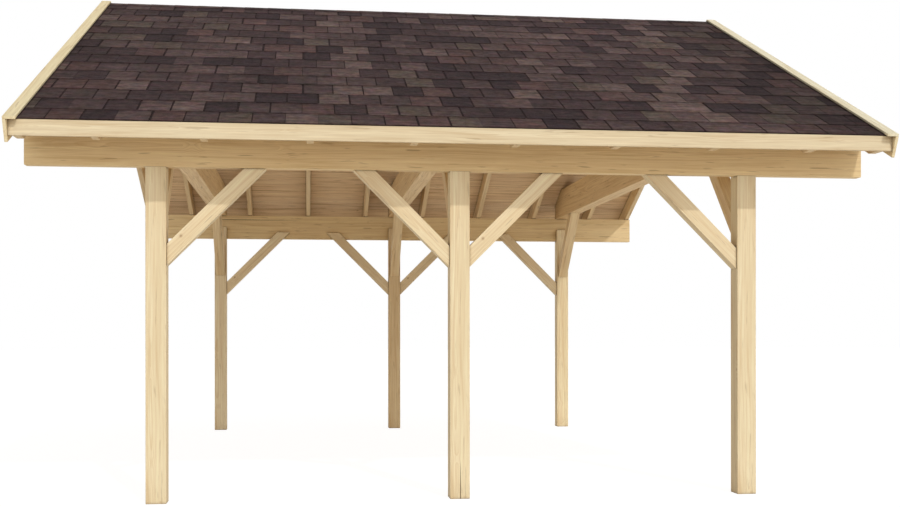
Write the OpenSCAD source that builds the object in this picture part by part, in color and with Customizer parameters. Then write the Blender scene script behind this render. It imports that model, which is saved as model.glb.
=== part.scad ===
// Open timber shelter with a gabled roof: six posts carry two eave beams,
// three tie beams cross them, and rafters with boards and shingles span
// from eave to ridge. Lengths are in millimetres. X runs along the eaves,
// Y across the ridge with the front at -Y, and Z is up. The origin is on
// the ground at the middle of the plan.

/* [Frame] */
// Side of the square posts
post_w = 120; // [100:1:150]
// Distance between post centres along the eaves
post_spacing = 1800; // [1500:10:2200]
// Depth of the frame over the outer faces of the posts
frame_depth = 5530; // [4200:10:6600]
// Height from the ground to the underside of the eave beams
clear_h = 1982; // [1800:1:2500]
// Height of a post's tongue behind the eave beam
tongue_h = 117; // [60:1:170]

/* [Beams] */
// Distance that the eave beams run past the ends of the roof boards
beam_over = 8; // [0:1:15]
// Thickness of the eave beams
beam_t = 70; // [50:1:90]
// Height of the eave beams
beam_h = 240; // [190:1:300]
// Width of the tie beams
tie_w = 120; // [80:1:160]
// Height of the tie beams
tie_h = 284; // [220:1:340]
// Thickness of the ridge beam
ridge_t = 70; // [50:1:90]
// Height of the ridge beam
ridge_h = 240; // [160:1:300]
// Side of the square king posts
king_w = 120; // [100:1:150]
// Height of the king posts' cheeks beside the ridge beam
cheek_h = 117; // [60:1:150]

/* [Braces] */
// Side of the square braces
brace_w = 90; // [70:1:110]
// Reach of an eave brace along the beam from the post's side
eave_brace_reach = 580; // [450:5:660]
// Height of an eave brace's tongue behind the eave beam
eave_brace_lap = 67; // [40:1:120]
// Reach of a depth brace along the tie beam from the post's inner face
depth_brace_reach = 627; // [450:1:800]

/* [Roof] */
// Pitch of the roof in degrees
roof_pitch = 25; // [18:0.5:35]
// Length of the roof between the barge boards
roof_len = 5080; // [4700:10:6200]
// Distance from the posts' outer faces to the front of the fascia
eave_reach = 420; // [300:1:600]
// Width of the rafters
rafter_w = 42; // [35:1:70]
// Depth of the rafters, square to their length
rafter_d = 140; // [110:1:180]
// Number of rafter spaces in one post bay
rafters_per_bay = 3; // [2:1:4]
// Gap between a verge rafter and its barge board
verge_gap = 0; // [0:1:80]
// Depth of the rafters' notch at the outer face of the eave beam
seat_cut = 27; // [3:1:35]
// Depth of the rafters' notch at the middle of the ridge beam
ridge_seat = 5; // [0:1:20]
// Thickness of the roof boards
board_t = 20; // [15:1:28]
// Thickness of the shingle layer
shingle_t = 10; // [5:1:15]
// Distance that the shingles reach past the fascia
shingle_over = 5; // [0:1:25]

/* [Trim] */
// Thickness of the fascias
fascia_t = 18; // [12:1:28]
// Height of the fascias at their front face
fascia_h = 91; // [75:1:120]
// Height of the rafters' level cut over the bottom of the fascia
tail_lift = 15; // [0:1:30]
// Thickness of the barge boards
barge_t = 18; // [12:1:28]
// Width of the barge boards, square to the slope
barge_w = 130; // [100:1:160]
// Distance that the barge boards reach past the fascia at the top
barge_nose = 48; // [20:1:90]
// Width of the cap boards
cap_w = 70; // [45:1:110]
// Thickness of the cap boards
cap_t = 15; // [10:1:25]

/* [Hidden] */

// Which side a piece is on
LEFT = -1;
MIDDLE = 0;
RIGHT = 1;
FRONT = -1;
REAR = 1;

sawn_wood = "#d9c190";
planed_wood = "#e3cfa0";
bitumen = "#4a3d3a";

// Distance that a cutting solid runs past the face it cuts
past = 1;

slope = tan(roof_pitch);
along = cos(roof_pitch);
rise = sin(roof_pitch);

half_depth = frame_depth / 2;
half_roof = roof_len / 2;
beam_top = clear_h + beam_h;
tie_top = beam_top + tie_h;

// Heights over the outer face of the eave beam
rafter_foot = beam_top - seat_cut;
board_foot = rafter_foot + rafter_d / along;

// Heights of the roof's layers at a distance u from the ridge line
function rafter_under(u) = rafter_foot + (half_depth - u) * slope;
function board_under(u) = board_foot + (half_depth - u) * slope;
function board_over(u) = board_under(u) + board_t / along;
function roof_over(u) = board_over(u) + shingle_t / along;

ridge_top = rafter_under(0) + ridge_seat;
ridge_bottom = ridge_top - ridge_h;

fascia_face = half_depth + eave_reach;
fascia_back = fascia_face - fascia_t;
fascia_bottom = board_over(fascia_face) - fascia_h;
tail_bottom = fascia_bottom + tail_lift;
barge_end = fascia_face + barge_nose;

verge_rafter_x = half_roof - verge_gap - rafter_w / 2;
rafter_step = post_spacing / rafters_per_bay;
rafters_per_half = floor((verge_rafter_x - rafter_w) / rafter_step + 0.5);
rafter_xs = [
    for (side = [LEFT, RIGHT], i = [0 : rafters_per_half - 1]) side * (i + 0.5) * rafter_step,
    -verge_rafter_x,
    verge_rafter_x
];

// Length along the beam that a brace's square end takes up at 45 degrees
brace_run = brace_w * sqrt(2);

// A solid of width w centred on x, whose outline is given as [distance
// from the ridge line, height] on the front or rear side
module across(x, w, side, outline) {
    translate([x, 0, 0])
        rotate([90, 0, 90])
            linear_extrude(height = w, center = true)
                polygon([for (p = outline) [side * p[0], p[1]]]);
}

// A solid whose outline is given as [x, height], from y0 to y1
module along_eave(y0, y1, outline) {
    translate([0, max(y0, y1), 0])
        rotate([90, 0, 0])
            linear_extrude(height = abs(y1 - y0))
                polygon(outline);
}

// Post with its outer part cut away for the eave beam and a tongue behind it
module post(column, row) {
    beam_inner = half_depth - beam_t;
    color(planed_wood)
        across(column * post_spacing, post_w, row, [
            [half_depth, 0],
            [half_depth, clear_h],
            [beam_inner, clear_h],
            [beam_inner, clear_h + tongue_h],
            [half_depth - post_w, clear_h + tongue_h],
            [half_depth - post_w, 0]
        ]);
}

// Beam on the heads of one row of posts, its ends under the barge boards
module eave_beam(row) {
    color(sawn_wood)
        across(0, roof_len + 2 * beam_over, row, [
            [half_depth, clear_h],
            [half_depth, beam_top],
            [half_depth - beam_t, beam_top],
            [half_depth - beam_t, clear_h]
        ]);
}

// Beam over a pair of posts, its upper corners cut to the roof boards
module tie_beam(column) {
    top_reach = half_depth - (tie_top - board_foot) / slope;
    color(sawn_wood)
        across(column * post_spacing, tie_w, FRONT, [
            [-half_depth, beam_top],
            [-half_depth, board_foot],
            [-top_reach, tie_top],
            [top_reach, tie_top],
            [half_depth, board_foot],
            [half_depth, beam_top]
        ]);
}

// Beam under the ridge, carried by the king posts
module ridge_beam() {
    color(sawn_wood)
        across(0, roof_len, FRONT, [
            [-ridge_t / 2, ridge_bottom],
            [-ridge_t / 2, ridge_top],
            [ridge_t / 2, ridge_top],
            [ridge_t / 2, ridge_bottom]
        ]);
}

// Short post on a tie beam, with a cheek on each side of the ridge beam
module king_post(column) {
    color(planed_wood)
        across(column * post_spacing, king_w, FRONT, [
            [-king_w / 2, tie_top],
            [-king_w / 2, ridge_bottom + cheek_h],
            [-ridge_t / 2, ridge_bottom + cheek_h],
            [-ridge_t / 2, ridge_bottom],
            [ridge_t / 2, ridge_bottom],
            [ridge_t / 2, ridge_bottom + cheek_h],
            [king_w / 2, ridge_bottom + cheek_h],
            [king_w / 2, tie_top]
        ]);
}

// Brace from the side of a post up to the eave beam, with a tongue that
// laps behind the beam. The brace leaves the post towards heading.
module eave_brace(column, heading, row) {
    foot = column * post_spacing + heading * post_w / 2;
    low = clear_h - eave_brace_reach;
    outer = row * (half_depth - (post_w - brace_w) / 2);
    inner = outer - row * brace_w;
    beam_inner = row * (half_depth - beam_t);
    head = eave_brace_reach + eave_brace_lap;
    color(planed_wood)
        difference() {
            along_eave(outer, inner, [
                [foot, low],
                [foot + heading * head, clear_h + eave_brace_lap],
                [foot + heading * (head - brace_run), clear_h + eave_brace_lap],
                [foot, low + brace_run]
            ]);
            along_eave(outer + row * past, beam_inner, [
                [foot - heading * past, clear_h],
                [foot + heading * (head + past), clear_h],
                [foot + heading * (head + past), clear_h + eave_brace_lap + past],
                [foot - heading * past, clear_h + eave_brace_lap + past]
            ]);
        }
}

// Brace from the inner face of a post up to the tie beam
module depth_brace(column, row) {
    face = half_depth - post_w;
    low = beam_top - depth_brace_reach;
    color(planed_wood)
        across(column * post_spacing, brace_w, row, [
            [face, low],
            [face, low + brace_run],
            [face - depth_brace_reach + brace_run, beam_top],
            [face - depth_brace_reach, beam_top]
        ]);
}

// One slope's rafters, notched over the eave beam and the ridge beam, with
// a plumb and a level cut behind the fascia
module rafters(row) {
    seat_end = half_depth - seat_cut / slope;
    level_end = half_depth + (rafter_foot - tail_bottom) / slope;
    color(sawn_wood)
        for (x = rafter_xs)
            across(x, rafter_w, row, [
                [0, board_under(0)],
                [fascia_back, board_under(fascia_back)],
                [fascia_back, tail_bottom],
                [level_end, tail_bottom],
                [half_depth, rafter_foot],
                [half_depth, beam_top],
                [seat_end, beam_top],
                [ridge_t / 2, rafter_under(ridge_t / 2)],
                [ridge_t / 2, ridge_top],
                [0, ridge_top]
            ]);
}

// One slope's boarding, from the ridge line to the back of the fascia
module roof_boards(row) {
    color(planed_wood)
        across(0, roof_len, row, [
            [0, board_under(0)],
            [0, board_over(0)],
            [fascia_back, board_over(fascia_back)],
            [fascia_back, board_under(fascia_back)]
        ]);
}

// One slope's layer of shingles, over the boards and the fascia
module shingles(row) {
    edge = fascia_face + shingle_over;
    color(bitumen)
        across(0, roof_len, row, [
            [0, board_over(0)],
            [0, roof_over(0)],
            [edge, roof_over(edge)],
            [edge, board_over(edge)]
        ]);
}

// Plumb board on the rafters' ends, its top planed to the roof
module fascia(row) {
    color(planed_wood)
        across(0, roof_len, row, [
            [fascia_back, fascia_bottom],
            [fascia_back, board_over(fascia_back)],
            [fascia_face, board_over(fascia_face)],
            [fascia_face, fascia_bottom]
        ]);
}

// Board on the gable edge of one slope, cut square at its lower end
module barge(side, row) {
    color(planed_wood)
        across(side * (half_roof + barge_t / 2), barge_t, row, [
            [0, roof_over(0)],
            [barge_end, roof_over(barge_end)],
            [barge_end - barge_w * rise, roof_over(barge_end) - barge_w * along],
            [0, roof_over(0) - barge_w / along]
        ]);
}

// Cap board over a barge board and the edge of the shingles
module cap(side, row) {
    color(planed_wood)
        across(side * (half_roof + barge_t - cap_w / 2), cap_w, row, [
            [0, roof_over(0)],
            [0, roof_over(0) + cap_t / along],
            [barge_end + cap_t * rise, roof_over(barge_end) + cap_t * along],
            [barge_end, roof_over(barge_end)]
        ]);
}

post(LEFT, FRONT);  // post_front_left
post(MIDDLE, FRONT);  // post_front_middle
post(RIGHT, FRONT);  // post_front_right
post(LEFT, REAR);  // post_rear_left
post(MIDDLE, REAR);  // post_rear_middle
post(RIGHT, REAR);  // post_rear_right
eave_beam(FRONT);  // eave_beam_front
eave_beam(REAR);  // eave_beam_rear
tie_beam(LEFT);  // tie_beam_left
tie_beam(MIDDLE);  // tie_beam_middle
tie_beam(RIGHT);  // tie_beam_right
ridge_beam();
king_post(LEFT);  // king_post_left
king_post(MIDDLE);  // king_post_middle
king_post(RIGHT);  // king_post_right
eave_brace(LEFT, RIGHT, FRONT);  // eave_brace_front_1
eave_brace(MIDDLE, LEFT, FRONT);  // eave_brace_front_2
eave_brace(MIDDLE, RIGHT, FRONT);  // eave_brace_front_3
eave_brace(RIGHT, LEFT, FRONT);  // eave_brace_front_4
eave_brace(LEFT, RIGHT, REAR);  // eave_brace_rear_1
eave_brace(MIDDLE, LEFT, REAR);  // eave_brace_rear_2
eave_brace(MIDDLE, RIGHT, REAR);  // eave_brace_rear_3
eave_brace(RIGHT, LEFT, REAR);  // eave_brace_rear_4
depth_brace(LEFT, FRONT);  // depth_brace_front_left
depth_brace(MIDDLE, FRONT);  // depth_brace_front_middle
depth_brace(RIGHT, FRONT);  // depth_brace_front_right
depth_brace(LEFT, REAR);  // depth_brace_rear_left
depth_brace(MIDDLE, REAR);  // depth_brace_rear_middle
depth_brace(RIGHT, REAR);  // depth_brace_rear_right
rafters(FRONT);  // rafters_front
rafters(REAR);  // rafters_rear
roof_boards(FRONT);  // roof_boards_front
roof_boards(REAR);  // roof_boards_rear
shingles(FRONT);  // shingles_front
shingles(REAR);  // shingles_rear
fascia(FRONT);  // fascia_front
fascia(REAR);  // fascia_rear
barge(LEFT, FRONT);  // barge_front_left
barge(RIGHT, FRONT);  // barge_front_right
barge(LEFT, REAR);  // barge_rear_left
barge(RIGHT, REAR);  // barge_rear_right
cap(LEFT, FRONT);  // cap_front_left
cap(RIGHT, FRONT);  // cap_front_right
cap(LEFT, REAR);  // cap_rear_left
cap(RIGHT, REAR);  // cap_rear_right
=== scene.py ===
"""Timber gazebo: wood, roof boards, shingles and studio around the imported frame. Lengths are in metres."""
import math
import random

import bpy
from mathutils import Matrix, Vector


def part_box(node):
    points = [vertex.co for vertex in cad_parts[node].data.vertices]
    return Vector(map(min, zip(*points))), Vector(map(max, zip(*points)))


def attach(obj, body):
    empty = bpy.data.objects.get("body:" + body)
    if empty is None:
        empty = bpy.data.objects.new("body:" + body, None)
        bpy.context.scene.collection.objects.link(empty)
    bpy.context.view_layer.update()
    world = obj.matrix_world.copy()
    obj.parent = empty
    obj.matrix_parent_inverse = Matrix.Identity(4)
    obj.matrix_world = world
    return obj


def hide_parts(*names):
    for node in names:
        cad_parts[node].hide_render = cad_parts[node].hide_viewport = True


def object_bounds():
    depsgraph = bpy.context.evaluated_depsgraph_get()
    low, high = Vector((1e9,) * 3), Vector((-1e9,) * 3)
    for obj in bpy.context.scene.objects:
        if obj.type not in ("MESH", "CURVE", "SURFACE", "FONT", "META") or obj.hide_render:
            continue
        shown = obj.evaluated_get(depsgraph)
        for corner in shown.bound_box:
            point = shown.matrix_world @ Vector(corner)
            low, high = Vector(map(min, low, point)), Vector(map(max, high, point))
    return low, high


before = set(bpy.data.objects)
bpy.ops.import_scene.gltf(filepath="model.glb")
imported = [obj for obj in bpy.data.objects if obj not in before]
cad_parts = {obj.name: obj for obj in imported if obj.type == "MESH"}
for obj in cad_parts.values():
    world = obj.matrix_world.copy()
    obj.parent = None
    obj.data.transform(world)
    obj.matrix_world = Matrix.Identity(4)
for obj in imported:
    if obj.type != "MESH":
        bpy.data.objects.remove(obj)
cad_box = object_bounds()
rng = random.Random(25)

# ---------------------------------------------------------------- sizes

FRONT, REAR = -1, 1
SIDES = {"front": FRONT, "rear": REAR}
PITCH = math.radians(25)
RISE, ALONG = math.sin(PITCH), math.cos(PITCH)
TILT = RISE / ALONG

PITH_SPREAD = 0.05
TONE_SPREAD = 0.02
CHECK_HALF_WIDTH = 0.0026
EDGE_ROUND = 0.003
SHARP_EDGE = math.radians(20)
WELD_REACH = 0.00005

PLANK_COVER = 0.1205
PLANK_GAP = 0.0006
PLANK_CHAMFER = 0.0022
PLANK_TONE = (0.98, 0.95, 0.91)
PLANK_TONE_SPREAD = 0.025

EAVE_BUTT = 0.004
FIRST_COURSE = 0.2086
COURSE = 0.2372
LEAST_COURSE = 0.03
RIDGE_CLEARANCE = 0.006
TAB_PITCH = 0.1868
TAB_SHIFT = 0.079
SLOT = 0.0095
LEAST_TAB = 0.004
TAB_T = 0.0032
TAB_LAP = 0.02
TAB_LIFT = 0.0006
FELT_T = 0.0012
BUTT_LIFT = 0.0047
BACKING_SUNK = 0.0004

# Sizes of the thin dark strips along the caps' inner edges, which paint the shadow line there
EDGE_STRIP_FOOT = 0.003
EDGE_STRIP_RISE = 0.001
EDGE_STRIP_T = 0.003

RIDGE_CAP_STEP = 0.187
RIDGE_CAP_LAP = 0.03
RIDGE_CAP_WING = 0.07
RIDGE_CAP_T = 0.0016
RIDGE_CAP_SUNK = 0.0002
RIDGE_CAP_DIP = 0.0017
RIDGE_CAP_FOLD = 0.0006
LEAST_RIDGE_CAP = 0.01

SKY = 0.28
SKY_COLOUR = (1.0, 0.975, 0.94, 1.0)
LOBES = [("Y", -1.0, 1.68), ("Y", 1.0, 0.72), ("X", 1.0, 1.1)]
LOBE_POWER = 4.0
SUN = 0.97
SUN_COLOUR = (1.0, 0.985, 0.96)
SUN_WIDTH = math.radians(1.2)
SUN_TRAVEL = (-0.3, 1.0, -0.74)

FLOOR_REACH = 60.0
FLOOR_COLOUR = (0.95, 0.917, 0.874, 1.0)
FLOOR_GLOW = 0.9
FLOOR_DIM = (0.25, 0.25, 0.25, 1.0)

LENS = 48.15
LENS_SHIFT = 0.0874
CAMERA_PLACE = (-0.9256, -9.986, 1.0089)
CAMERA_TURN = (math.radians(90), 0.00063, math.radians(-6.83))

# ---------------------------------------------------------------- shader graphs


class Graph:
    """A material's node tree, with one short call for each kind of node."""

    def __init__(self, name):
        self.material = bpy.data.materials.new(name)
        self.material.use_nodes = True
        self.tree = self.material.node_tree
        self.shader = self.tree.nodes["Principled BSDF"]

    def link(self, socket, value):
        if isinstance(value, bpy.types.NodeSocket):
            self.tree.links.new(value, socket)
        else:
            socket.default_value = value

    def node(self, kind, inputs=None, **settings):
        made = self.tree.nodes.new("ShaderNode" + kind)
        for key, value in settings.items():
            setattr(made, key, value)
        for key, value in (inputs or {}).items():
            self.link(made.inputs[key], value)
        return made

    def math(self, operation, a, b=0.0, clamp=False):
        made = self.node("Math", {0: a, 1: b}, operation=operation, use_clamp=clamp)
        return made.outputs[0]

    def vector(self, operation, a, b=(0, 0, 0)):
        made = self.node("VectorMath", {0: a, 1: b}, operation=operation)
        return made.outputs["Value" if operation == "LENGTH" else "Vector"]

    def noise(self, place, scale=1.0, detail=2.0, roughness=0.5, colour=False):
        made = self.node("TexNoise", {
            "Vector": place, "Scale": scale, "Detail": detail, "Roughness": roughness})
        return made.outputs["Color" if colour else "Fac"]

    def span(self, value, low, high, to_low=0.0, to_high=1.0):
        made = self.node("MapRange", {
            "Value": value, "From Min": low, "From Max": high,
            "To Min": to_low, "To Max": to_high})
        return made.outputs["Result"]

    def mix(self, share, a, b, blend="MIX"):
        made = self.node("Mix", data_type="RGBA", blend_type=blend)
        for socket, value in ((made.inputs[0], share), (made.inputs[6], a), (made.inputs[7], b)):
            self.link(socket, value)
        return made.outputs[2]

    def own(self, name, kind="OBJECT", output="Vector"):
        return self.node("Attribute", attribute_type=kind, attribute_name=name).outputs[output]

    def bump(self, height, distance, strength=1.0):
        made = self.node("Bump", {"Height": height, "Distance": distance, "Strength": strength})
        self.link(self.shader.inputs["Normal"], made.outputs[0])

    def finish(self, colour, roughness, specular):
        self.link(self.shader.inputs["Base Color"], colour)
        self.link(self.shader.inputs["Roughness"], roughness)
        self.link(self.shader.inputs["Specular IOR Level"], specular)
        return self.material


def rgb(red, green, blue):
    return (red, green, blue, 1.0)


PINKISH = rgb(0.86, 0.58, 0.38)
FLECK = rgb(0.26, 0.14, 0.06)
KNOT_RIM = rgb(0.45, 0.26, 0.12)
KNOT = rgb(0.24, 0.12, 0.06)
# Painted shade: darker wood in inner corners and in the seams between pieces
PAINTED_CORNER_SHADE = rgb(0.22, 0.12, 0.05)
PAINTED_SEAM_SHADE = rgb(0.12, 0.06, 0.025)
CRACK = rgb(0.13, 0.065, 0.025)
PALE_GRIT = rgb(0.22, 0.15, 0.135)
DARK_GRIT = rgb(0.016, 0.011, 0.011)


def grain_place(g):
    """The place in a piece's own log, with Z along the grain."""
    spot = g.vector("SUBTRACT", g.node("TexCoord").outputs["Object"], g.own("centre"))
    turned = g.node("VectorRotate", {"Vector": spot, "Rotation": g.own("turn")},
                    rotation_type="EULER_XYZ").outputs[0]
    return g.vector("ADD", turned, g.own("plank_shift", "GEOMETRY"))


def wood(name, pale, dark, ring=0.0065, rings=0.4, broad=0.3, streaks=0.55, flecks=0.3, fine=70.0):
    """Planed softwood: year rings, patches, streaks, flecks, knots, a drying check and fibres."""
    g = Graph(name)
    place = grain_place(g)
    wander = g.noise(g.vector("MULTIPLY", place, (5.0, 5.0, 0.9)), colour=True)
    sway = g.vector("MULTIPLY", g.vector("SUBTRACT", wander, (0.5, 0.5, 0.5)), (0.05, 0.05, 0.05))
    bent = g.vector("ADD", place, sway)

    knot_far = g.node("TexVoronoi", {"Vector": bent, "Scale": 3.6}).outputs["Distance"]
    knot = g.span(knot_far, 0.030, 0.018)
    late = late_wood(g, bent, knot_far, ring)
    patch = g.noise(g.vector("MULTIPLY", bent, (11.0, 11.0, 0.6)), detail=3.0)
    warm = g.noise(g.vector("MULTIPLY", bent, (17.0, 17.0, 1.3)), detail=2.0, colour=True)
    streak = g.noise(g.vector("MULTIPLY", bent, (fine, fine, 1.6)), detail=3.0, roughness=0.6)
    fleck = g.noise(g.vector("MULTIPLY", bent, (62.0, 62.0, 5.5)), detail=2.0)
    fibre = g.noise(g.vector("MULTIPLY", place, (420.0, 420.0, 14.0)), detail=2.0)
    crack = drying_check(g, place, sway)

    pink = [0.5 * p + 0.5 * q for p, q in zip(pale, PINKISH)]
    bright = [min(1.0, 1.15 * p) for p in pale]
    colour = g.mix(g.span(warm, 0.5, 0.72, 0.0, 0.35), pale, pink)
    for share, layer in (
            (g.math("MULTIPLY", late, rings), dark),
            (g.span(patch, 0.42, 0.68, 0.0, broad), dark),
            (g.span(streak, 0.5, 0.7, 0.0, streaks), dark),
            (g.span(streak, 0.47, 0.28, 0.0, streaks), bright),
            (g.span(fleck, 0.64, 0.72, 0.0, flecks), FLECK),
            (g.span(fibre, 0.3, 0.7, 0.0, 0.14), dark),
            (g.span(knot_far, 0.060, 0.030, 0.0, 0.3), KNOT_RIM),
            (g.math("MULTIPLY", knot, 0.4), KNOT),
            # Painted shade in corners and seams, where other wood closes a place in
            (painted_hollow_shade(g, 0.3, 0.7, 0.1, 0.45), PAINTED_CORNER_SHADE),
            (painted_hollow_shade(g, 0.018, 0.9, 0.45, 0.5), PAINTED_SEAM_SHADE),
            (crack, CRACK)):
        colour = g.mix(share, colour, layer)
    tone = g.vector("ADD", g.own("tone"), g.own("plank_tone", "GEOMETRY", "Fac"))
    colour = g.mix(1.0, colour, tone, blend="MULTIPLY")

    height = g.math("ADD", g.math("MULTIPLY", fibre, 0.5), g.math("MULTIPLY", late, 0.35))
    height = g.math("SUBTRACT", height, g.math("MULTIPLY", crack, 3.0))
    height = g.math("ADD", height, g.math("MULTIPLY", knot, 0.4))
    g.bump(height, 0.0006)
    rough = g.span(streak, 0.2, 0.8, 0.55, 0.75)
    return g.finish(colour, rough, 0.25)


def late_wood(g, bent, knot_far, ring):
    """1 in the dark part of each year ring. The rings bow out round the knots."""
    across = g.vector("MULTIPLY", g.vector("SUBTRACT", bent, g.own("pith")), (1.0, 1.0, 0.0))
    bow = g.math("MULTIPLY", g.span(knot_far, 0.22, 0.03), 0.012)
    season = g.math("FRACT", g.math("DIVIDE", g.math("ADD", g.vector("LENGTH", across), bow), ring))
    return g.math("MULTIPLY", g.span(season, 0.35, 0.92), g.span(season, 1.0, 0.93))


def painted_hollow_shade(g, reach, open_from, closed_at, most):
    """Painted shade: rises to most in corners and seams, where other wood within reach closes a place in."""
    openness = g.node("AmbientOcclusion", {"Distance": reach}, samples=6).outputs["AO"]
    return g.span(openness, open_from, closed_at, 0.0, most)


def drying_check(g, place, sway):
    """1 inside the crack that a piece's own check gives: its place across, its start and its end."""
    spot, bow = g.node("SeparateXYZ", {0: place}), g.node("SeparateXYZ", {0: sway})
    line = g.node("SeparateXYZ", {0: g.own("check")})
    start, end = line.outputs[1], line.outputs[2]
    part = g.math("DIVIDE", g.math("SUBTRACT", spot.outputs[2], start), g.math("SUBTRACT", end, start))
    taper = g.math("MULTIPLY", g.math("MULTIPLY", part, g.math("SUBTRACT", 1.0, part)), 4.0, clamp=True)
    off = g.math("SUBTRACT", spot.outputs[0], line.outputs[0])
    off = g.math("ABSOLUTE", g.math("ADD", off, g.math("MULTIPLY", bow.outputs[0], 0.25)))
    inside = g.span(g.math("SUBTRACT", g.math("MULTIPLY", taper, CHECK_HALF_WIDTH), off), 0.0, 0.0005)
    return g.math("MULTIPLY", inside, g.math("LESS_THAN", spot.outputs[1], 0.0))


def shingle_felt(name):
    """Bitumen shingle with mineral granules. Each tab brings its own tone."""
    g = Graph(name)
    place = g.node("TexCoord").outputs["Object"]
    tone = g.own("tab_tone", "GEOMETRY", "Color")
    grit = g.noise(place, scale=950.0, detail=1.0)
    blotch = g.noise(place, scale=22.0, detail=4.0, roughness=0.65)
    band = g.noise(g.vector("MULTIPLY", place, (3.5, 48.0, 1.0)), detail=3.0, roughness=0.6)
    stain = g.noise(g.vector("MULTIPLY", place, (1.0, 0.6, 1.0)), scale=2.2, detail=3.0)
    # The points' shade paints the butts' shadows and the slots' shade, times the felt's shade along the roof
    shade = g.own("tab_shade", "GEOMETRY", "Fac")
    for field, low, high in ((band, 0.65, 1.35), (blotch, 0.6, 1.4), (stain, 1.15, 0.85)):
        shade = g.math("MULTIPLY", shade, g.span(field, 0.3, 0.7, low, high))
    hue = g.noise(place, scale=16.0, detail=3.0, colour=True)
    tint = g.vector("ADD", g.vector("MULTIPLY", hue, (0.6, 0.4, 0.6)), (0.7, 0.8, 0.7))
    colour = g.mix(1.0, tone, g.mix(1.0, tint, shade, blend="MULTIPLY"), blend="MULTIPLY")
    colour = g.mix(g.span(grit, 0.55, 0.75, 0.0, 0.25), colour, PALE_GRIT)
    colour = g.mix(g.span(grit, 0.45, 0.25, 0.0, 0.4), colour, DARK_GRIT)
    g.bump(g.math("ADD", grit, g.math("MULTIPLY", blotch, 0.5)), 0.0009)
    return g.finish(colour, g.span(grit, 0.3, 0.7, 0.98, 0.85), 0.08)


# ---------------------------------------------------------------- materials

frame_wood = wood("frame_wood", rgb(0.92, 0.80, 0.55), rgb(0.68, 0.48, 0.25))
beam_wood = wood("beam_wood", rgb(0.92, 0.75, 0.47), rgb(0.64, 0.45, 0.22), flecks=0.45, fine=60.0)
board_wood = wood("board_wood", rgb(0.95, 0.74, 0.49), rgb(0.50, 0.33, 0.18), ring=0.017, rings=0.5,
                  broad=0.1, streaks=0.75, flecks=0.5, fine=45.0)
trim_wood = wood("trim_wood", rgb(0.84, 0.72, 0.50), rgb(0.62, 0.44, 0.24), ring=0.005)
felt = shingle_felt("bitumen_shingle")

# Euler turns that bring a grain direction onto Z
QUARTER = math.pi / 2
GRAIN_Z = (0.0, 0.0, 0.0)
GRAIN_X = (0.0, -QUARTER, 0.0)
GRAIN_Y = (QUARTER, 0.0, 0.0)


def grain_slope(side):
    return (-side * (QUARTER - PITCH), 0.0, 0.0)


def grain_brace_x(heading):
    return (0.0, -heading * math.pi / 4, 0.0)


def grain_brace_y(side):
    return (-side * math.pi / 4, 0.0, 0.0)


# What a piece's wood is multiplied by. The first entry that its name starts with counts.
# Warmer, darker tones paint the shade under the roof; lighter ones paint sunlight on the rear right post and
# right cap
PIECE_TONES_AND_PAINTED_LIGHT = {
    "post_rear_middle": (0.92, 0.85, 0.76),
    "post_rear_right": (1.05, 1.06, 1.04),
    "post_front_": (0.97, 0.98, 0.98),
    "depth_brace_": (0.99, 0.93, 0.85),
    "tie_beam_": (0.98, 0.92, 0.85),
    "rafters_": (0.95, 0.94, 0.96),
    "eave_beam_front": (1.0, 0.96, 0.88),
    "eave_beam_rear": (0.97, 0.95, 0.89),
    "fascia_": (0.97, 0.98, 0.98),
    "cap_front_right": (1.14, 1.27, 1.4),
    "cap_": (1.1, 1.14, 1.08),
    "barge_": (1.08, 1.1, 1.05),
}

# A drying check's place across the piece and its start and end along it, from the piece's middle
NO_CHECK = (9.0, 0.0, 1.0)
CHECKS = {"post_front_middle": (0.002, -1.3, -0.81), "eave_beam_rear": (-0.075, -2.2, -0.95)}


def dress(node, material, turn):
    """Gives a CAD node its wood, its place in the log and slightly rounded edges."""
    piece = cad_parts[node]
    for slot in piece.material_slots:
        slot.material = material
    low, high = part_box(node)
    piece["centre"] = list((low + high) / 2)
    piece["turn"] = list(turn)
    piece["pith"] = [rng.uniform(-PITH_SPREAD, PITH_SPREAD), rng.uniform(-PITH_SPREAD, PITH_SPREAD), 0.0]
    even = 1.0 + rng.uniform(-TONE_SPREAD, TONE_SPREAD)
    tint = next((tone for start, tone in PIECE_TONES_AND_PAINTED_LIGHT.items() if node.startswith(start)), (1.0, 1.0, 1.0))
    piece["tone"] = [even * part for part in tint]
    piece["check"] = list(CHECKS.get(node, NO_CHECK))
    weld = piece.modifiers.new("weld", "WELD")
    weld.merge_threshold = WELD_REACH
    bevel = piece.modifiers.new("rounding", "BEVEL")
    bevel.width = EDGE_ROUND
    bevel.segments = 2
    bevel.limit_method = "ANGLE"
    bevel.angle_limit = SHARP_EDGE


def dress_frame():
    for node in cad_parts:
        row = REAR if "rear" in node else FRONT
        if node.startswith(("post_", "king_post_")):
            dress(node, frame_wood, GRAIN_Z)
        elif node.startswith(("eave_beam_", "ridge_beam")):
            dress(node, beam_wood, GRAIN_X)
        elif node.startswith("tie_beam_"):
            dress(node, beam_wood, GRAIN_Y)
        elif node.startswith("eave_brace_"):
            heading = 1 if node[-1] in "13" else -1
            dress(node, frame_wood, grain_brace_x(heading))
        elif node.startswith("depth_brace_"):
            dress(node, frame_wood, grain_brace_y(row))
        elif node.startswith("rafters_"):
            dress(node, beam_wood, grain_slope(row))
        elif node.startswith("fascia_"):
            dress(node, trim_wood, GRAIN_X)
        elif node.startswith(("barge_", "cap_")):
            dress(node, trim_wood, grain_slope(row))


# ---------------------------------------------------------------- roof


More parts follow.
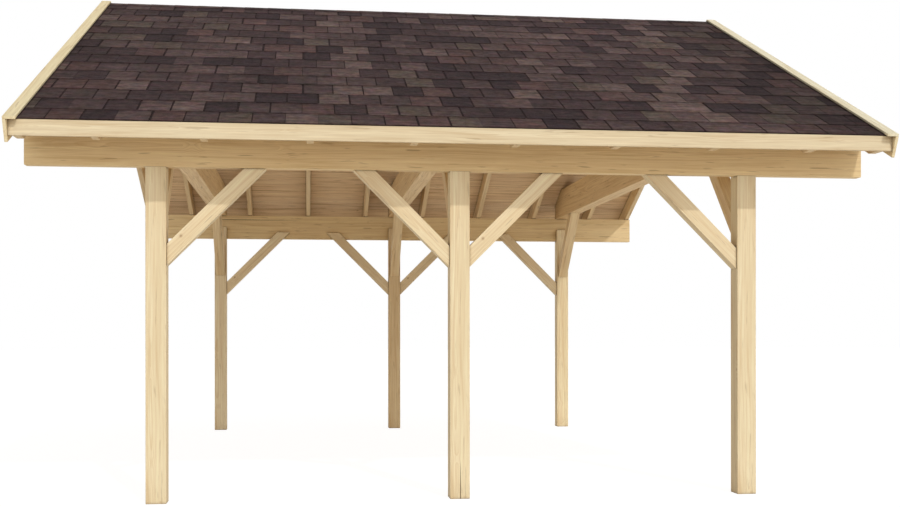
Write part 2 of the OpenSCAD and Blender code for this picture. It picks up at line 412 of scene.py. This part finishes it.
class Slope:
    """Places on one roof slope: s up the slope from a layer's lower edge, n square to it."""

    def __init__(self, node, side):
        low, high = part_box(node)
        self.side = side
        self.x0, self.x1 = low.x, high.x
        self.reach = max(abs(low.y), abs(high.y))
        self.foot = low.z
        self.length = self.reach / ALONG

    def at(self, x, s, n):
        return Vector((
            x,
            self.side * (self.reach - s * ALONG + n * RISE),
            self.foot + s * RISE + n * ALONG,
        ))


class Sheet:
    """Collects faces with per-face values and makes one piece of them."""

    def __init__(self, side):
        self.side = side
        self.points, self.shades, self.faces, self.values = [], [], [], []

    def prism(self, first, second, shades=None, **values):
        """Joins two equal outlines, both given in the same turning sense, into a closed solid."""
        start, count = len(self.points), len(first)
        self.points += first + second
        self.shades += (shades or [1.0] * count) * 2
        rings = [[start + i, start + (i + 1) % count,
                  start + count + (i + 1) % count, start + count + i] for i in range(count)]
        caps = [[start + i for i in reversed(range(count))],
                [start + count + i for i in range(count)]]
        for face in rings + caps:
            self.faces.append(face if self.side == FRONT else face[::-1])
            self.values.append(values)

    def piece(self, name, material, slot, *nodes):
        mesh = bpy.data.meshes.new(name)
        mesh.from_pydata([tuple(p) for p in self.points], [], self.faces)
        mesh.materials.append(material)
        made = bpy.data.objects.new(name, mesh)
        bpy.context.scene.collection.objects.link(made)
        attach(made, "root")
        if nodes:
            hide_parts(*nodes)
        return made

    def store(self, mesh, name, kind, field):
        layer = mesh.attributes.new(name, kind, "FACE")
        flat = []
        for values in self.values:
            value = values.get(name, 0.0)
            flat += list(value) if isinstance(value, (tuple, list)) else [value]
        layer.data.foreach_set(field, flat)

    def felt_piece(self, name, *nodes):
        """A piece of shingle felt, with a tone for each face and a shade for each point."""
        mesh = self.piece(name, felt, "shingle", *nodes).data
        self.store(mesh, "tab_tone", "FLOAT_COLOR", "color")
        mesh.attributes.new("tab_shade", "FLOAT", "POINT").data.foreach_set("value", self.shades)


def planks(row):
    """Boards along the eaves, drawn without tongues, with a V groove at each joint on the underside."""
    side = SIDES[row]
    node = "roof_boards_" + row
    slope = Slope(node, side)
    low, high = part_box(node)
    thick = (high.z - low.z - slope.reach * TILT) * ALONG
    count = round(slope.length / PLANK_COVER)
    cover = slope.length / count
    plumb = thick * TILT
    sheet = Sheet(side)
    for i in range(count):
        s0, s1 = i * cover + PLANK_GAP / 2, (i + 1) * cover - PLANK_GAP / 2
        cut = PLANK_CHAMFER
        outline = [(s0 + cut, 0.0), (s1 - cut, 0.0), (s1, cut), (s1, thick), (s0, thick), (s0, cut)]
        if i == 0:
            outline = [(0.0, 0.0)] + outline[1:4] + [(plumb, thick)]
        if i == count - 1:
            outline = [outline[0], (slope.length, 0.0), (slope.length + plumb, thick)] + outline[4:]
        ends = [[slope.at(x, s, n) for s, n in outline] for x in (slope.x0, slope.x1)]
        sheet.prism(*ends, plank_shift=(rng.uniform(-1, 1), rng.uniform(-1, 1), rng.uniform(-3, 3)),
                    plank_tone=rng.uniform(-PLANK_TONE_SPREAD, PLANK_TONE_SPREAD))
    made = sheet.piece("planks_" + row, board_wood, "board_wood", node)
    sheet.store(made.data, "plank_shift", "FLOAT_VECTOR", "vector")
    sheet.store(made.data, "plank_tone", "FLOAT", "value")
    made["centre"] = [0.0, side * slope.reach / 2, slope.foot + slope.length * RISE / 2]
    made["turn"] = list(GRAIN_X)
    made["pith"] = [0.0, 0.0, 0.0]
    made["tone"] = list(PLANK_TONE)
    made["check"] = list(NO_CHECK)


TAB_TONES = [
    (rgb(0.037, 0.024, 0.026), 3),
    (rgb(0.053, 0.034, 0.035), 4),
    (rgb(0.076, 0.050, 0.049), 4),
    (rgb(0.099, 0.066, 0.063), 4),
    (rgb(0.127, 0.087, 0.080), 2),
    (rgb(0.092, 0.055, 0.052), 2),
    (rgb(0.096, 0.070, 0.060), 1),
]

# The felt in the slots is drawn darker than any tab, as painted shade, and lighter towards the next butt
SLOT_PAINTED_SHADE_TONE = rgb(0.022, 0.013, 0.013)
SLOT_PAINTED_SHADES = (0.95, 1.4)
# A painted shadow line along the caps' inner edges
CAP_PAINTED_SHADOW_TONE = rgb(0.040, 0.026, 0.023)

# How many tabs take the tone of the one before
REPEATED_TONES = 0.1

# Shares of a tab's length and its shade there: a painted shadow, darkest where the next course's butt comes
# down
TAB_PAINTED_SHADE = [(0.0, 0.97), (0.1, 1.08), (0.22, 1.07), (0.68, 0.94), (0.84, 0.84), (0.92, 0.74),
              (1.0, 0.74)]

# The felt's shade along the roof, and from its eaves to its ridge: darkest at the right verge
ROOF_SHADES = [(-2.54, 0.84), (-2.1, 0.97), (0.0, 1.04), (1.7, 1.12), (2.0, 0.87), (2.3, 0.64),
               (2.54, 0.58)]
EAVE_SHADE, RIDGE_SHADE = 0.93, 1.06


def felt_shade(x, rise):
    """The felt's shade at x, and at rise from 0 at the eaves to 1 at the ridge."""
    along = ROOF_SHADES[-1][1]
    for (x0, shade0), (x1, shade1) in zip(ROOF_SHADES, ROOF_SHADES[1:]):
        if x0 <= x < x1:
            along = shade0 + (shade1 - shade0) * (x - x0) / (x1 - x0)
    return along * (EAVE_SHADE + (RIDGE_SHADE - EAVE_SHADE) * rise)


def tab_tone():
    tones, weights = zip(*TAB_TONES)
    return rng.choices(tones, weights)[0]


def course_backing(sheet, slope, s0, s1):
    """The strip that shows in a course's slots, drawn dark as painted shade."""
    s1 = min(s1, slope.length)
    outline = [(s0, 0.0), (s1, 0.0), (s1, FELT_T), (s0, BUTT_LIFT - BACKING_SUNK)]
    ends = [[slope.at(x, s, n) for s, n in outline] for x in (slope.x0, slope.x1)]
    low_shade, high_shade = SLOT_PAINTED_SHADES
    sheet.prism(*ends, shades=[low_shade, high_shade, high_shade, low_shade], tab_tone=SLOT_PAINTED_SHADE_TONE)


def tab(sheet, slope, x0, x1, s0, s1, tone):
    """One tab, laid back on the course below, its butt a little lifted."""
    lift = rng.uniform(0.0, TAB_LIFT)
    under = [(s0 + share * (s1 - s0), FELT_T * share + (BUTT_LIFT + lift) * (1 - share))
             for share, shade in TAB_PAINTED_SHADE]
    outline = under + [(s, n + TAB_T) for s, n in reversed(under)]
    ends = [[slope.at(x, s, n) for s, n in outline] for x in (x0, x1)]
    whole = felt_shade((x0 + x1) / 2, (s0 + s1) / 2 / slope.length)
    shades = [whole * shade for share, shade in TAB_PAINTED_SHADE]
    sheet.prism(*ends, shades + shades[::-1], tab_tone=tone)


def shingles(row):
    """Courses of rectangular tabs, each course half a tab along from the one below."""
    side = SIDES[row]
    node = "shingles_" + row
    slope = Slope(node, side)
    sheet = Sheet(side)
    last = slope.length - RIDGE_CLEARANCE
    butts = [EAVE_BUTT]
    while butts[-1] < last - LEAST_COURSE:
        butts.append(FIRST_COURSE + (len(butts) - 1) * COURSE)
    for i, (s0, s1) in enumerate(zip(butts, butts[1:])):
        course_backing(sheet, slope, s0, s1)
        shift = TAB_SHIFT + (TAB_PITCH / 2 if i % 2 else 0.0)
        first = math.floor((slope.x0 - shift) / TAB_PITCH)
        x0 = shift + first * TAB_PITCH
        tone = tab_tone()
        while x0 < slope.x1:
            if rng.random() > REPEATED_TONES:
                tone = tab_tone()
            left = max(x0 + SLOT * rng.uniform(0.1, 1.6), slope.x0)
            right = min(x0 + TAB_PITCH, slope.x1)
            if right - left > LEAST_TAB:
                tab(sheet, slope, left, right, s0, min(s1 + TAB_LAP, last), tone)
            x0 += TAB_PITCH
    sheet.felt_piece("courses_" + row, node)


def painted_cap_shadow_strips(row):
    """Thin dark strips along the inner edges of the caps: a painted shadow line beside them."""
    side = SIDES[row]
    slope = Slope("shingles_" + row, side)
    low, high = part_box("shingles_" + row)
    foot = EDGE_STRIP_FOOT
    top = (high.z - low.z - slope.reach * TILT) * ALONG + EDGE_STRIP_RISE
    sheet = Sheet(side)
    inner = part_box(f"cap_{row}_left")[1].x
    for x in (inner, -inner - EDGE_STRIP_T):
        outline = [(0.0, foot), (slope.length + foot * TILT, foot), (slope.length + top * TILT, top),
                   (0.0, top)]
        ends = [[slope.at(end, s, n) for s, n in outline] for end in (x, x + EDGE_STRIP_T)]
        sheet.prism(*ends, tab_tone=CAP_PAINTED_SHADOW_TONE)
    sheet.felt_piece("painted_cap_shadows_" + row)


def ridge_caps():
    """Strips folded over the ridge, each lapping the one before."""
    low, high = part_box("shingles_front")
    offsets = [side * k * RIDGE_CAP_WING / 3 for side, k in (
        (FRONT, 3), (FRONT, 2), (FRONT, 1), (REAR, 0), (REAR, 1), (REAR, 2), (REAR, 3))]
    sheet = Sheet(FRONT)
    x = low.x
    while x < high.x - LEAST_RIDGE_CAP:
        ends = []
        far = min(x + RIDGE_CAP_STEP + RIDGE_CAP_LAP, high.x)
        for end, sunk in ((x, RIDGE_CAP_SUNK), (far, RIDGE_CAP_SUNK + RIDGE_CAP_DIP)):
            over = [Vector((end, y, high.z - abs(y) * TILT - sunk - (0.0 if y else RIDGE_CAP_FOLD)))
                    for y in offsets]
            under = [p - Vector((0, 0, RIDGE_CAP_T)) for p in over]
            ends.append(under + over[::-1])
        shades = [felt_shade((x + far) / 2, 1.0)] * len(ends[0])
        sheet.prism(*ends, shades, tab_tone=tab_tone())
        x += RIDGE_CAP_STEP
    sheet.felt_piece("ridge_caps")


# ---------------------------------------------------------------- studio


def camera():
    data = bpy.data.cameras.new("camera")
    data.sensor_width = 36
    data.lens = LENS
    data.shift_y = LENS_SHIFT
    data.clip_end = 200
    made = bpy.data.objects.new("camera", data)
    made.location = CAMERA_PLACE
    made.rotation_euler = CAMERA_TURN
    bpy.context.scene.collection.objects.link(made)
    bpy.context.scene.camera = made


def sun():
    data = bpy.data.lights.new("sun", "SUN")
    data.energy = SUN
    data.angle = SUN_WIDTH
    data.color = SUN_COLOUR
    made = bpy.data.objects.new("sun", data)
    made.rotation_euler = Vector(SUN_TRAVEL).to_track_quat("-Z", "Y").to_euler()
    bpy.context.scene.collection.objects.link(made)


def seen(tree):
    """1 for what the camera sees, straight, mirrored or through glass."""
    path = tree.nodes.new("ShaderNodeLightPath")
    total = path.outputs["Is Camera Ray"]
    for name in ("Is Glossy Ray", "Is Transmission Ray"):
        both = tree.nodes.new("ShaderNodeMath")
        both.operation = "MAXIMUM"
        tree.links.new(total, both.inputs[0])
        tree.links.new(path.outputs[name], both.inputs[1])
        total = both.outputs[0]
    return total


def sky_light(tree):
    """The sky's strength: even, with a soft lobe from the front and weaker ones from behind and right."""
    split = tree.nodes.new("ShaderNodeSeparateXYZ")
    tree.links.new(tree.nodes.new("ShaderNodeTexCoord").outputs["Generated"], split.inputs[0])
    total = None
    for axis, aim, strength in LOBES:
        last = split.outputs[axis]
        for operation, value in (("MULTIPLY", aim), ("MAXIMUM", 0.0), ("POWER", LOBE_POWER),
                                 ("MULTIPLY", strength), ("ADD", SKY if total is None else total)):
            step = tree.nodes.new("ShaderNodeMath")
            step.operation = operation
            if isinstance(value, bpy.types.NodeSocket):
                tree.links.new(value, step.inputs[1])
            else:
                step.inputs[1].default_value = value
            tree.links.new(last, step.inputs[0])
            last = step.outputs[0]
        total = last
    return total


def sky():
    world = bpy.data.worlds.new("studio")
    bpy.context.scene.world = world
    world.use_nodes = True
    tree = world.node_tree
    tree.nodes.clear()
    lit, white = (tree.nodes.new("ShaderNodeBackground") for _ in range(2))
    lit.inputs["Color"].default_value = SKY_COLOUR
    tree.links.new(sky_light(tree), lit.inputs["Strength"])
    white.inputs["Color"].default_value = rgb(1.0, 1.0, 1.0)
    white.inputs["Strength"].default_value = 1.0
    both = tree.nodes.new("ShaderNodeMixShader")
    tree.links.new(seen(tree), both.inputs[0])
    tree.links.new(lit.outputs[0], both.inputs[1])
    tree.links.new(white.outputs[0], both.inputs[2])
    tree.links.new(both.outputs[0], tree.nodes.new("ShaderNodeOutputWorld").inputs[0])


def floor():
    mesh = bpy.data.meshes.new("floor")
    corners = [(-1, -1), (1, -1), (1, 1), (-1, 1)]
    mesh.from_pydata([(x * FLOOR_REACH, y * FLOOR_REACH, cad_box[0].z) for x, y in corners],
                     [], [(0, 1, 2, 3)])
    made = bpy.data.objects.new("floor", mesh)
    bpy.context.scene.collection.objects.link(made)
    material = bpy.data.materials.new("floor")
    material.use_nodes = True
    tree = material.node_tree
    tree.nodes.clear()
    real, dim = (tree.nodes.new("ShaderNodeBsdfDiffuse") for _ in range(2))
    real.inputs["Color"].default_value = FLOOR_COLOUR
    dim.inputs["Color"].default_value = FLOOR_DIM
    glow = tree.nodes.new("ShaderNodeEmission")
    glow.inputs["Strength"].default_value = FLOOR_GLOW
    add, both = tree.nodes.new("ShaderNodeAddShader"), tree.nodes.new("ShaderNodeMixShader")
    tree.links.new(dim.outputs[0], add.inputs[0])
    tree.links.new(glow.outputs[0], add.inputs[1])
    tree.links.new(seen(tree), both.inputs[0])
    tree.links.new(real.outputs[0], both.inputs[1])
    tree.links.new(add.outputs[0], both.inputs[2])
    tree.links.new(both.outputs[0], tree.nodes.new("ShaderNodeOutputMaterial").inputs[0])
    mesh.materials.append(material)


# ---------------------------------------------------------------- build

dress_frame()
for row in SIDES:
    planks(row)
    shingles(row)
    painted_cap_shadow_strips(row)
ridge_caps()
camera()
sun()
sky()
floor()
bpy.context.scene.view_settings.view_transform = "Standard"
